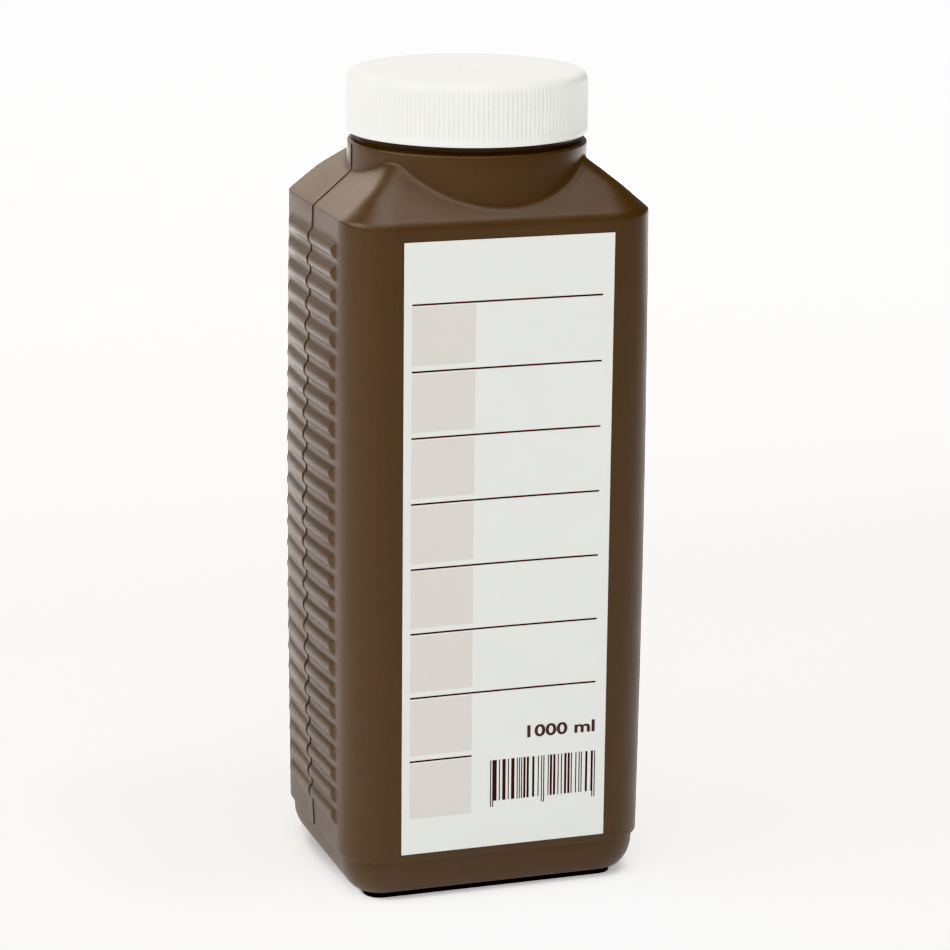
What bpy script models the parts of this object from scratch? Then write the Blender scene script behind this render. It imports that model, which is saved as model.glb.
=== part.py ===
"""Wide-mouth rectangular storage bottle for one litre of photographic chemical.

A blow-moulded bottle with rolled side grips and a hipped shoulder, a ribbed screw cap, a
sealing liner in the cap and a label on the front. Metres, +Z up. The origin is under the
middle of the base, and the label faces -Y.
"""

import math

import bmesh
import bpy

MM = 0.001

# Driving dimensions of the bottle
WIDTH = 84.0 * MM
DEPTH = 69.5 * MM
CORNER_RADIUS = 12.0 * MM
WALL = 1.3 * MM
FLOOR = 1.6 * MM
FOOT_STEP_Z = 12.1 * MM
SHOULDER_Z = 183.1 * MM
LEDGE_Z = 199.3 * MM
RIM_Z = 214.3 * MM
SHOULDER_SLOPE = 0.85

# Foot: it is set in below a small step and curves in to an edge. Under that edge the base
# runs in to a flat ring, which it stands on, round a raised middle.
STEP_IN = 1.1 * MM
STEP_HEIGHT = 0.3 * MM
FOOT_EDGE_Z = 1.4 * MM
FOOT_CURVE_HEIGHT = 9.0 * MM
FOOT_CURVE_IN = 6.5 * MM
UNDERCUT = 3.5 * MM
UNDERCUT_RING_Z = 0.8 * MM
UNDERCUT_RING_IN = 0.4 * MM
STANDING_RING = 4.0 * MM
PUSH_UP = 3.2 * MM
PUSH_UP_RUN = 4.5 * MM

# How far the panels leave their flat planes at mid height
SIDE_BULGE_CORNER = 0.6 * MM
SIDE_BULGE_MIDDLE = 2.0 * MM
FRONT_SINK = 0.6 * MM

# Grip rolls on the two side panels
ROLL_COUNT = 27
ROLL_PITCH = 5.88 * MM
ROLL_TOP_Z = 174.9 * MM
ROLL_RADIUS = 2.6 * MM
ROLL_SUNK = 1.55 * MM
ROLL_STRAIGHT = 20.3 * MM
ROLL_END_RUN = 2.3 * MM
ROLL_END_SCALE = 0.5

# Collar and neck
COLLAR_RADIUS = 31.6 * MM
COLLAR_EDGE = 0.6 * MM
NECK_RADIUS = 28.9 * MM
BORE_RADIUS = 27.4 * MM

# Screw thread, right-handed, shared by the neck and the cap
THREAD_PITCH = 4.5 * MM
THREAD_BEAD = 0.95 * MM
NECK_THREAD_Z = 205.1 * MM
NECK_THREAD_TURNS = 1.5
CAP_THREAD_TURNS = 1.25
THREAD_STEPS = 28
THREAD_RUN_OUT = 3

# Cap
CAP_BOTTOM_Z = 201.4 * MM
CAP_TOP_Z = 217.5 * MM
CAP_RADIUS = 31.9 * MM
CAP_ROOT_RADIUS = 31.5 * MM
CAP_INNER_RADIUS = 30.4 * MM
CAP_PLATE = 1.5 * MM
CAP_RIM_ROUNDING = 2.6 * MM
CAP_RIB_COUNT = 156
CAP_RIBS_BOTTOM_Z = 202.7 * MM
CAP_RIBS_TOP_Z = 214.9 * MM
GATE_RADIUS = 1.9 * MM
GATE_DEPTH = 0.5 * MM

# Liner and label
GAP = 0.3 * MM
LINER_RADIUS = 29.8 * MM
LABEL_LEFT = -28.0 * MM
LABEL_RIGHT = 28.9 * MM
LABEL_BOTTOM_Z = 14.3 * MM
LABEL_TOP_Z = 178.7 * MM
LABEL_THICKNESS = 0.15 * MM

# How finely the walls are cut: heights above the foot's edge, steps up the panels, and
# heights above the shoulder's lower edge
OUTER_FOOT_RISES = (0.0, 0.6 * MM, 2.0 * MM, 4.8 * MM, 9.0 * MM)
INNER_FOOT_RISES = (2.8 * MM, 5.1 * MM, 9.0 * MM)
OUTER_PANEL_STEPS = 6
INNER_PANEL_STEPS = 5
SHOULDER_RISES = (3.5 * MM, 7.0 * MM, 11.0 * MM)
INNER_SHOULDER_RISE = 9.0 * MM
INNER_SHOULDER_DROP = 0.6 * MM
TURNED_STEPS = 52
CORNER_STEPS = 5
WELD = 0.01 * MM


# Scene set-up and materials


def clear_scene():
    for old in list(bpy.data.objects):
        bpy.data.objects.remove(old, do_unlink=True)


def make_collection(name):
    collection = bpy.data.collections.new(name)
    bpy.context.scene.collection.children.link(collection)
    return collection


def plastic(name, colour, roughness):
    material = bpy.data.materials.new(name)
    material.use_nodes = True
    shader = material.node_tree.nodes["Principled BSDF"]
    shader.inputs["Base Color"].default_value = (*colour, 1.0)
    shader.inputs["Roughness"].default_value = roughness
    shader.inputs["Metallic"].default_value = 0.0
    return material


def add_object(name, mesh, collection, material=None):
    obj = bpy.data.objects.new(name, mesh)
    collection.objects.link(obj)
    if material:
        mesh.materials.append(material)
    return obj


def make_guide(obj):
    obj.hide_render = True
    obj.display_type = "WIRE"
    return obj


# Shapes that the parts share


def loft(name, rings, collection, material=None):
    """A closed solid through rings of equal point counts, capped at both ends."""
    bm = bmesh.new()
    loops = [[bm.verts.new(point) for point in ring] for ring in rings]
    for lower, upper in zip(loops, loops[1:]):
        for i, corner in enumerate(lower):
            follower = (i + 1) % len(lower)
            bm.faces.new((corner, lower[follower], upper[follower], upper[i]))
    bm.faces.new(loops[0])
    bm.faces.new(loops[-1])
    bmesh.ops.recalc_face_normals(bm, faces=bm.faces)
    mesh = bpy.data.meshes.new(name)
    bm.to_mesh(mesh)
    bm.free()
    return add_object(name, mesh, collection, material)


def turned(name, profile, collection, material=None):
    """A solid of revolution: (radius, height) points from the axis over the outer side."""
    bm = bmesh.new()
    verts = [bm.verts.new((radius, 0.0, height)) for radius, height in profile]
    for first, second in zip(verts, verts[1:]):
        bm.edges.new((first, second))
    mesh = bpy.data.meshes.new(name)
    bm.to_mesh(mesh)
    bm.free()
    obj = add_object(name, mesh, collection, material)
    screw = obj.modifiers.new("Turn", "SCREW")
    screw.steps = TURNED_STEPS
    screw.render_steps = TURNED_STEPS
    screw.use_merge_vertices = True
    screw.merge_threshold = WELD
    return obj


def mesh_from_curve(curve, collection):
    """The curve's tube as a welded mesh object, which a Boolean can use."""
    depsgraph = bpy.context.evaluated_depsgraph_get()
    evaluated = curve.evaluated_get(depsgraph)
    mesh = bpy.data.meshes.new_from_object(evaluated)
    bm = bmesh.new()
    bm.from_mesh(mesh)
    bmesh.ops.remove_doubles(bm, verts=bm.verts, dist=WELD)
    bmesh.ops.recalc_face_normals(bm, faces=bm.faces)
    bm.to_mesh(mesh)
    bm.free()
    obj = add_object(curve.name + "_mesh", mesh, collection)
    obj.matrix_world = curve.matrix_world.copy()
    bpy.data.objects.remove(curve, do_unlink=True)
    return obj


def tubes(name, paths, radius, collection):
    """Round tubes along lists of (x, y, z, thickness scale) points."""
    data = bpy.data.curves.new(name, "CURVE")
    data.dimensions = "3D"
    data.bevel_depth = radius
    data.bevel_resolution = 2
    data.use_fill_caps = True
    for path in paths:
        spline = data.splines.new("POLY")
        spline.points.add(len(path) - 1)
        for point, (x, y, z, scale) in zip(spline.points, path):
            point.co = (x, y, z, 1.0)
            point.radius = scale
    curve = bpy.data.objects.new(name, data)
    collection.objects.link(curve)
    return mesh_from_curve(curve, collection)


def combine(obj, operand, operation):
    boolean = obj.modifiers.new(operation.title() + " " + operand.name, "BOOLEAN")
    boolean.operation = operation
    boolean.solver = "EXACT"
    boolean.object = operand
    make_guide(operand)


def thread_path(radius, start_z, turns):
    """Points along a right-handed helix that thins out at both ends."""
    count = round(THREAD_STEPS * turns)
    points = []
    for i in range(count + 1):
        angle = math.tau * i / THREAD_STEPS
        end_distance = min(i, count - i)
        scale = 0.3 + 0.7 * min(1.0, end_distance / THREAD_RUN_OUT)
        height = start_z + THREAD_PITCH * i / THREAD_STEPS
        points.append((radius * math.cos(angle), radius * math.sin(angle), height, scale))
    return points


# The bottle's walls


def mid_height(z):
    """1 half-way up the panels, falling to 0 at the foot step and at the shoulder."""
    middle = (SHOULDER_Z + FOOT_STEP_Z) / 2
    half = (SHOULDER_Z - FOOT_STEP_Z) / 2
    return max(0.0, 1.0 - ((z - middle) / half) ** 2)


def middle_of(offset, half_length):
    """1 in the middle of a panel, falling to 0 where its corners begin."""
    return max(0.0, 1.0 - (offset / half_length) ** 2)


def side_bulge(y, z):
    across = middle_of(y, DEPTH / 2 - CORNER_RADIUS)
    return mid_height(z) * (SIDE_BULGE_CORNER + (SIDE_BULGE_MIDDLE - SIDE_BULGE_CORNER) * across)


def front_sink(x, z):
    return mid_height(z) * FRONT_SINK * middle_of(x, WIDTH / 2 - CORNER_RADIUS)


def section(inset, z, least_radius=3.0 * MM):
    """One level outline of the walls, set in from the full width and depth."""
    half_x = WIDTH / 2 - inset
    half_y = DEPTH / 2 - inset
    radius = max(CORNER_RADIUS - inset, least_radius)
    straight_x = half_x - radius
    straight_y = half_y - radius
    points = []
    for quarter in range(4):
        sign_x = (1, -1, -1, 1)[quarter]
        sign_y = (1, 1, -1, -1)[quarter]
        for i in range(CORNER_STEPS + 1):
            angle = (quarter + i / CORNER_STEPS) * math.pi / 2
            turn_x = math.cos(angle)
            turn_y = math.sin(angle)
            x = sign_x * straight_x + radius * turn_x
            y = sign_y * straight_y + radius * turn_y
            points.append((x, y, turn_x, turn_y))
        for share in (0.5, 0.0, -0.5):
            if quarter % 2 == 0:
                points.append((sign_x * straight_x * share, sign_y * half_y, 0.0, sign_y))
            else:
                points.append((sign_x * half_x, sign_y * straight_y * share, sign_x, 0.0))
    return [
        (x + turn_x * side_bulge(y, z), y - turn_y * front_sink(x, z), z)
        for x, y, turn_x, turn_y in points
    ]


def foot_inset(z):
    """The foot's walls curve in like a quarter ellipse down to the foot's edge."""
    drop = (FOOT_EDGE_Z + FOOT_CURVE_HEIGHT - z) / FOOT_CURVE_HEIGHT
    drop = max(0.0, min(1.0, drop))
    return STEP_IN + FOOT_CURVE_IN * (1.0 - math.sqrt(1.0 - drop * drop))


def outer_levels():
    """(inset, height) from the raised middle of the base, over the foot, walls and shoulder."""
    ring_outer = STEP_IN + FOOT_CURVE_IN + UNDERCUT
    ring_inner = ring_outer + STANDING_RING
    levels = [(ring_inner + PUSH_UP_RUN, PUSH_UP), (ring_inner, 0.0), (ring_outer, 0.0)]
    levels.append((ring_outer - UNDERCUT_RING_IN, UNDERCUT_RING_Z))
    for rise in OUTER_FOOT_RISES:
        levels.append((foot_inset(FOOT_EDGE_Z + rise), FOOT_EDGE_Z + rise))
    levels += [(STEP_IN, FOOT_STEP_Z - STEP_HEIGHT), (0.0, FOOT_STEP_Z)]
    for i in range(1, OUTER_PANEL_STEPS + 1):
        share = i / OUTER_PANEL_STEPS
        levels.append((0.0, FOOT_STEP_Z + (SHOULDER_Z - FOOT_STEP_Z) * share))
    for rise in SHOULDER_RISES:
        levels.append((rise / SHOULDER_SLOPE, SHOULDER_Z + rise))
    return levels


def inner_levels():
    """The same path on the inside of the wall."""
    ring_outer = STEP_IN + FOOT_CURVE_IN + UNDERCUT
    ring_inner = ring_outer + STANDING_RING
    levels = [(ring_inner + PUSH_UP_RUN, PUSH_UP + FLOOR), (ring_inner, FLOOR)]
    levels += [(ring_outer, FLOOR), (foot_inset(FOOT_EDGE_Z) + WALL / 2, FOOT_EDGE_Z + WALL)]
    for rise in INNER_FOOT_RISES:
        height = FOOT_EDGE_Z + rise
        levels.append((foot_inset(height - FLOOR) + WALL, height))
    levels.append((STEP_IN + WALL, FOOT_STEP_Z + WALL))
    bottom = FOOT_STEP_Z + STEP_IN + 2.0 * WALL
    top = SHOULDER_Z - INNER_SHOULDER_DROP
    for i in range(INNER_PANEL_STEPS + 1):
        levels.append((WALL, bottom + (top - bottom) * i / INNER_PANEL_STEPS))
    inset = WALL + INNER_SHOULDER_RISE / SHOULDER_SLOPE
    levels.append((inset, top + INNER_SHOULDER_RISE))
    return levels


def roll_path(side, z):
    """One grip roll across a side panel, tapering into the wall at both ends."""
    reach = ROLL_STRAIGHT + ROLL_END_RUN
    stations = [(-reach, ROLL_END_SCALE), (-ROLL_STRAIGHT, 1.0), (0.0, 1.0)]
    stations += [(ROLL_STRAIGHT, 1.0), (reach, ROLL_END_SCALE)]
    depth = WIDTH / 2 - ROLL_SUNK
    return [(side * (depth + side_bulge(y, z)), y, z, scale) for y, scale in stations]


def grip_rolls(guides):
    paths = []
    for side in (-1, 1):
        paths += [roll_path(side, ROLL_TOP_Z - i * ROLL_PITCH) for i in range(ROLL_COUNT)]
    return tubes("grip_rolls", paths, ROLL_RADIUS, guides)


def collar_and_neck(guides):
    buried_z = SHOULDER_Z - 6.0 * MM
    profile = [
        (0.0, RIM_Z),
        (NECK_RADIUS - 0.4 * MM, RIM_Z),
        (NECK_RADIUS, RIM_Z - 0.4 * MM),
        (NECK_RADIUS, LEDGE_Z),
        (COLLAR_RADIUS - COLLAR_EDGE, LEDGE_Z),
        (COLLAR_RADIUS - COLLAR_EDGE * 0.3, LEDGE_Z - COLLAR_EDGE * 0.3),
        (COLLAR_RADIUS, LEDGE_Z - COLLAR_EDGE),
        (COLLAR_RADIUS, buried_z),
        (0.0, buried_z),
    ]
    return turned("collar_and_neck", profile, guides)


def neck_hollow(guides):
    collar_inside = COLLAR_RADIUS - WALL
    buried_z = SHOULDER_Z - 5.0 * MM
    profile = [
        (0.0, RIM_Z + 5.0 * MM),
        (BORE_RADIUS, RIM_Z + 5.0 * MM),
        (BORE_RADIUS, LEDGE_Z - WALL),
        (collar_inside, LEDGE_Z - 2.0 * WALL),
        (collar_inside, buried_z),
        (0.0, buried_z),
    ]
    return turned("neck_hollow", profile, guides)


def build_bottle(parts, guides):
    brown = plastic("brown_polyethylene", (0.095, 0.055, 0.028), 0.45)
    rings = [section(inset, z) for inset, z in outer_levels()]
    bottle = loft("bottle", rings, parts, brown)
    combine(bottle, collar_and_neck(guides), "UNION")
    neck_thread = thread_path(NECK_RADIUS, NECK_THREAD_Z, NECK_THREAD_TURNS)
    combine(bottle, tubes("neck_thread", [neck_thread], THREAD_BEAD, guides), "UNION")
    combine(bottle, grip_rolls(guides), "UNION")
    hollow_rings = [section(inset, z, 1.5 * MM) for inset, z in inner_levels()]
    combine(bottle, loft("wall_hollow", hollow_rings, guides), "DIFFERENCE")
    combine(bottle, neck_hollow(guides), "DIFFERENCE")
    return bottle


# The cap, its liner and the label


def cap_blank_profile():
    """The cap's outside: gate dimple, flat top, rounded rim and skirt, down to its bottom."""
    profile = [(0.0, CAP_TOP_Z - GATE_DEPTH), (GATE_RADIUS * 0.6, CAP_TOP_Z - GATE_DEPTH)]
    profile.append((GATE_RADIUS, CAP_TOP_Z))
    rim_steps = 4
    for i in range(rim_steps + 1):
        angle = math.pi / 2 * i / rim_steps
        radius = CAP_ROOT_RADIUS - CAP_RIM_ROUNDING * (1.0 - math.sin(angle))
        height = CAP_TOP_Z - CAP_RIM_ROUNDING * (1.0 - math.cos(angle))
        profile.append((radius, height))
    profile.append((CAP_ROOT_RADIUS, CAP_BOTTOM_Z))
    profile.append((0.0, CAP_BOTTOM_Z))
    return profile


def cap_ribs(guides):
    """A disc whose edge rises and falls once for each rib."""
    bm = bmesh.new()
    edge = []
    for i in range(2 * CAP_RIB_COUNT):
        angle = math.tau * i / (2 * CAP_RIB_COUNT)
        radius = CAP_RADIUS if i % 2 else CAP_ROOT_RADIUS + 0.05 * MM
        point = (radius * math.cos(angle), radius * math.sin(angle), CAP_RIBS_BOTTOM_Z)
        edge.append(bm.verts.new(point))
    bm.faces.new(edge)
    grown = bmesh.ops.extrude_face_region(bm, geom=bm.faces[:])
    top = [item for item in grown["geom"] if isinstance(item, bmesh.types.BMVert)]
    bmesh.ops.translate(bm, verts=top, vec=(0.0, 0.0, CAP_RIBS_TOP_Z - CAP_RIBS_BOTTOM_Z))
    bmesh.ops.recalc_face_normals(bm, faces=bm.faces)
    mesh = bpy.data.meshes.new("cap_ribs")
    bm.to_mesh(mesh)
    bm.free()
    return add_object("cap_ribs", mesh, guides)


def cap_hollow(guides):
    top_z = CAP_TOP_Z - CAP_PLATE
    bottom_z = CAP_BOTTOM_Z - 5.0 * MM
    profile = [(0.0, top_z), (CAP_INNER_RADIUS, top_z)]
    profile += [(CAP_INNER_RADIUS, bottom_z), (0.0, bottom_z)]
    return turned("cap_hollow", profile, guides)


def build_cap(parts, guides):
    white = plastic("white_polypropylene", (0.86, 0.86, 0.84), 0.35)
    cap = turned("cap", cap_blank_profile(), parts, white)
    combine(cap, cap_ribs(guides), "UNION")
    combine(cap, cap_hollow(guides), "DIFFERENCE")
    below_neck_thread = NECK_THREAD_Z - THREAD_PITCH / 2
    cap_thread = thread_path(CAP_INNER_RADIUS, below_neck_thread, CAP_THREAD_TURNS)
    combine(cap, tubes("cap_thread", [cap_thread], THREAD_BEAD, guides), "UNION")
    return cap


def build_liner(parts):
    foam = plastic("white_foam", (0.80, 0.80, 0.78), 0.7)
    bottom_z = RIM_Z + GAP
    top_z = CAP_TOP_Z - CAP_PLATE - GAP
    profile = [(0.0, top_z), (LINER_RADIUS, top_z), (LINER_RADIUS, bottom_z), (0.0, bottom_z)]
    return turned("cap_liner", profile, parts, foam)


def build_label(parts):
    """A thin sheet a little in front of the sunken front panel, following its curve."""
    paper = plastic("printed_paper", (0.76, 0.77, 0.74), 0.4)
    columns = 8
    rows = 6
    bm = bmesh.new()
    bmesh.ops.create_grid(bm, x_segments=columns, y_segments=rows, size=0.5)
    for vert in bm.verts:
        x = LABEL_LEFT + (LABEL_RIGHT - LABEL_LEFT) * (vert.co.x + 0.5)
        z = LABEL_BOTTOM_Z + (LABEL_TOP_Z - LABEL_BOTTOM_Z) * (vert.co.y + 0.5)
        vert.co = (x, front_sink(x, z) - DEPTH / 2 - GAP, z)
    mesh = bpy.data.meshes.new("front_label")
    bm.to_mesh(mesh)
    bm.free()
    label = add_object("front_label", mesh, parts, paper)
    solidify = label.modifiers.new("Paper thickness", "SOLIDIFY")
    solidify.thickness = LABEL_THICKNESS
    solidify.offset = 1.0
    return label


def shade_round(obj):
    obj.data.shade_smooth()
    obj.data.set_sharp_from_angle(angle=math.radians(30.0))


def main():
    clear_scene()
    parts = make_collection("storage_bottle")
    guides = make_collection("cutters")
    bottle = build_bottle(parts, guides)
    build_cap(parts, guides)
    build_liner(parts)
    build_label(parts)
    shade_round(bottle)


main()
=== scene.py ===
"""The finished look of a one-litre wide-mouth storage bottle for darkroom chemicals.

The bottle, its ribbed cap, the sealing liner and the front label are modelled over the
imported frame. Metres, +Z up, the label faces -Y.
"""

import math

import bmesh
import bpy
from mathutils import Matrix, Vector


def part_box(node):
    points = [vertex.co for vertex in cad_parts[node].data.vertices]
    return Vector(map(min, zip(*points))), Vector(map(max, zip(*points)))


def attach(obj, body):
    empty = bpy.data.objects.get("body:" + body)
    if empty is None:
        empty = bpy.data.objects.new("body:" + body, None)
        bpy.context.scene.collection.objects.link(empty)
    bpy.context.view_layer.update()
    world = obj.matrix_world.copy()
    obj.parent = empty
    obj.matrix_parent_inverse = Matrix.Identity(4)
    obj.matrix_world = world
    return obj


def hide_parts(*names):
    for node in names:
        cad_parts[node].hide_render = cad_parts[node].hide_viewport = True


MM = 0.001

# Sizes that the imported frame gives
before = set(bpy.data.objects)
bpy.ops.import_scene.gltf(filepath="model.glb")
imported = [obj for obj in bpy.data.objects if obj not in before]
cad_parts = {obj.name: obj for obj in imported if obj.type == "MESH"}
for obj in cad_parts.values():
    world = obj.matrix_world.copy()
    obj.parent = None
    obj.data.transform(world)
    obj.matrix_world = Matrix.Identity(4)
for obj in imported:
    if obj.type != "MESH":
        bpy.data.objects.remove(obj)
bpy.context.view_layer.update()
bottle_low, bottle_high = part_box("bottle")
cap_low, cap_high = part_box("cap")
liner_low, liner_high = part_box("cap_liner")
label_low, label_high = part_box("front_label")

# The bottle's walls
WIDTH = 84.0 * MM
DEPTH = bottle_high[1] - bottle_low[1]
CORNER_RADIUS = 12.0 * MM
LEAST_HIP_RADIUS = 4.0 * MM
INNER_CORNER_RADIUS = 1.5 * MM
WALL = 1.3 * MM
FOOT_STEP_Z = 12.1 * MM
SHOULDER_Z = 183.1 * MM
SHOULDER_SLOPE = 0.85
FRONT_EDGE_RADIUS = 3.4 * MM
SIDE_EDGE_RADIUS = 0.35 * MM
TURN_TO_ROOF = math.pi / 2 - math.atan(SHOULDER_SLOPE)
SIDE_BULGE_CORNER = 0.6 * MM
SIDE_BULGE_MIDDLE = 2.0 * MM
FRONT_SINK = 0.6 * MM

# Their outline: half of each straight side, and how finely the rest is cut
SIDE_STRAIGHT = DEPTH / 2 - CORNER_RADIUS
FRONT_STRAIGHT = WIDTH / 2 - CORNER_RADIUS
CORNER_STEPS = 9
FRONT_CUTS = 27

# Its foot and base
STEP_IN = 1.1 * MM
FOOT_EDGE_Z = 1.4 * MM
FOOT_CURVE_HEIGHT = 9.0 * MM
FOOT_CURVE_IN = 6.5 * MM
UNDERCUT = 3.5 * MM
STANDING_RING = 4.0 * MM
PUSH_UP = 3.2 * MM
PUSH_UP_RUN = 4.5 * MM
FLOOR_THICKNESS = 1.6 * MM

# Its grip rolls and its parting seam
ROLL_COUNT = 27
ROLL_PITCH = 5.88 * MM
ROLL_TOP_Z = 174.9 * MM
ROLL_RADIUS = 2.6 * MM
ROLL_SUNK = 1.55 * MM
ROLL_STRAIGHT = 20.3 * MM
ROLL_END_TAPER = 0.565
ROLL_FILLET = 0.10 * MM
SEAM_WIDTH = 0.17 * MM
SEAM_DEPTH = 0.20 * MM
SEAM_STEP = 0.24 * MM
SEAM_STEP_REACH = 4.0 * MM
SEAM_FORWARD = 0.12 * MM
# Painted shade along the parting seam: how strong it is, where it sits and how wide it is
SEAM_SHADE = 0.55
SEAM_SHADE_FORWARD = 0.1 * MM
SEAM_SHADE_WIDTH = SEAM_WIDTH * 1.4
SEAM_UNDER_Z = 5.0 * MM

# Its collar and neck
COLLAR_RADIUS = 31.6 * MM
COLLAR_FILLET = 0.8 * MM
LEDGE_Z = 199.3 * MM
NECK_RADIUS = 28.9 * MM
BORE_RADIUS = 27.4 * MM
RIM_Z = bottle_high[2]
THREAD_PITCH = 4.5 * MM
THREAD_BEAD = 0.95 * MM
NECK_THREAD_Z = 205.1 * MM

# The cap
CAP_BOTTOM_Z = cap_low[2]
CAP_TOP_Z = cap_high[2]
CAP_RADIUS = cap_high[0]
CAP_INNER_RADIUS = 30.4 * MM
CAP_PLATE = 1.5 * MM
CAP_RIB_COUNT = 156
CAP_RIB_DEPTH = 0.34 * MM
CAP_RIB_SHAPE = (0.0, 0.14, 1.0, 0.14)

# The label and its print
LABEL_THICKNESS = 0.1 * MM
LABEL_GAP = 0.04 * MM
PRINT_LEFT = -25.85 * MM
PRINT_RIGHT = 25.9 * MM
FIRST_LINE_Z = 162.55 * MM
LINE_PITCH = 17.5 * MM
LINE_THICKNESS = 0.5 * MM
LINE_COUNT = 8
COLUMN_RIGHT = -8.6 * MM
BOX_TOP_GAP = 0.6 * MM
BOX_BOTTOM_GAP = 1.55 * MM
BARS_LEFT = -3.4 * MM
BARS_RIGHT = 26.2 * MM
BARS_TOP_Z = 38.25 * MM
BARS_BOTTOM_Z = 26.85 * MM
GUARD_BOTTOM_Z = 25.2 * MM
BAR_MODULES = 95
VOLUME_TEXT_BASE_Z = 43.6 * MM
VOLUME_TEXT_HEIGHT = 3.45 * MM
VOLUME_TEXT_WIDTH = 19.0 * MM
VOLUME_TEXT_WEIGHT = 0.13 * MM
INK_THICKNESS = 0.04 * MM
INK_OUT = 0.15 * MM

# The soft lights: name, azimuth, elevation, width, height, brightness and tint
NEUTRAL = (1.0, 1.0, 1.0)
WARM = (1.0, 0.88, 0.74)
SOFTBOXES = (
    ("front_softbox", 0.0, 36.0, 1.0, 0.6, 1.6, NEUTRAL),
    ("front_left_softbox", -45.0, 36.0, 1.0, 0.6, 2.0, NEUTRAL),
    ("left_softbox", -90.0, 36.0, 1.0, 0.6, 6.4, NEUTRAL),
    ("back_softbox", -176.0, 36.0, 0.8, 0.7, 3.6, WARM),
    ("top_softbox", 0.0, 76.0, 1.1, 1.0, 4.8, NEUTRAL),
)
SOFTBOX_DISTANCE = 1.3
SOFTBOX_AIM = Vector((0.0, 0.0, 0.1))

# The room around them, with its backdrop low behind the bottle
ROOM_LIGHT = 0.05
BACKDROP_LIGHT = 0.8
BACKDROP_BEHIND = (0.45, 0.95)
BACKDROP_LOW = (0.75, 0.25)
SEEN_WHITE = 12.0

# The floor and its glow
FLOOR_SIZE = 12.0
FLOOR_DROP = 0.02 * MM
FLOOR_LIGHT = 0.36
SWEEP_LIGHT = 3.4
SWEEP_BEHIND = (0.22, 0.8)
SWEEP_RIGHT = (-0.35, 0.0)
HORIZON = (2.4, 4.5)
FOOT_HALF_WIDTH = WIDTH / 2 - STEP_IN - FOOT_CURVE_IN
FOOT_HALF_DEPTH = DEPTH / 2 - STEP_IN - FOOT_CURVE_IN
FOOT_CORNER = 4.0 * MM
# The soft edge of the painted black contact shadow where the foot covers the floor
PAINTED_FOOT_SHADOW_EDGE = (0.8 * MM, 0.1 * MM)
# Where the painted soft shadow on the floor's glow lies, shifted to the back left, and how far it
# reaches
SHADOW_SHIFT = 40.0 * MM
SHADOW_REACH = 50.0 * MM

# The camera
CAMERA_AZIMUTH = -18.624
CAMERA_ELEVATION = 14.559
CAMERA_ROLL = 0.592
CAMERA_DISTANCE = 0.9265
CAMERA_LENS = 130.68
CAMERA_AIM = Vector((2.07, -3.30, 108.20)) * MM


# Working on a piece in edit mode


def start_clean():
    """Leaves edit mode and deselects everything."""
    if bpy.context.object and bpy.context.object.mode != "OBJECT":
        bpy.ops.object.mode_set(mode="OBJECT")
    bpy.ops.object.select_all(action="DESELECT")


def pick(piece):
    """Makes one piece the only selected one, ready for an operator."""
    start_clean()
    bpy.context.view_layer.objects.active = piece
    piece.select_set(True)


def edit():
    bpy.ops.object.mode_set(mode="EDIT")


def leave_edit(name):
    """Goes back to object mode and names the piece that was edited."""
    bpy.ops.object.mode_set(mode="OBJECT")
    piece = bpy.context.object
    piece.name = name
    piece.data.name = name
    return piece


def choose(kind, test):
    """Selects only the vertices, edges or faces of the edited mesh that pass the test."""
    mesh = bpy.context.object.data
    bpy.ops.mesh.select_mode(type=kind)
    bpy.ops.mesh.select_all(action="DESELECT")
    bm = bmesh.from_edit_mesh(mesh)
    for item in {"VERT": bm.verts, "EDGE": bm.edges, "FACE": bm.faces}[kind]:
        if test(item):
            item.select = True
    bm.select_flush_mode()
    bmesh.update_edit_mesh(mesh)


def apply_modifiers(piece):
    pick(piece)
    for modifier in list(piece.modifiers):
        bpy.ops.object.modifier_apply(modifier=modifier.name)


def stack_rows(piece, count):
    """Pulls the piece's open outline up by 1 mm and repeats that row, for count rows."""
    edit()
    bpy.ops.mesh.select_all(action="SELECT")
    bpy.ops.mesh.extrude_region_move(TRANSFORM_OT_translate={"value": (0.0, 0.0, MM)})
    bpy.ops.object.mode_set(mode="OBJECT")
    array = piece.modifiers.new("Rows", "ARRAY")
    array.use_relative_offset = False
    array.use_constant_offset = True
    array.constant_offset_displace = (0.0, 0.0, MM)
    array.count = count - 1
    array.use_merge_vertices = True
    array.merge_threshold = 0.01 * MM
    apply_modifiers(piece)


def close_ends(piece, name):
    """Fills the first and the last row of a stacked piece and turns its faces outwards."""
    pick(piece)
    edit()
    choose("EDGE", lambda edge: edge.is_boundary)
    bpy.ops.mesh.edge_face_add()
    bpy.ops.mesh.select_all(action="SELECT")
    bpy.ops.mesh.normals_make_consistent(inside=False)
    return leave_edit(name)


def smooth(piece, angle):
    """Shades a piece smooth, but for edges sharper than the angle in degrees."""
    pick(piece)
    bpy.ops.object.shade_smooth_by_angle(angle=math.radians(angle))


def join(pieces):
    start_clean()
    for piece in pieces:
        piece.select_set(True)
    bpy.context.view_layer.objects.active = pieces[0]
    bpy.ops.object.join()
    return pieces[0]


def finish_piece(piece, material, body, slot, *nodes):
    piece.data.materials.clear()
    piece.data.materials.append(material)
    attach(piece, body)
    if nodes:
        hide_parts(*nodes)


# The screw thread that the neck and the cap share


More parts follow.
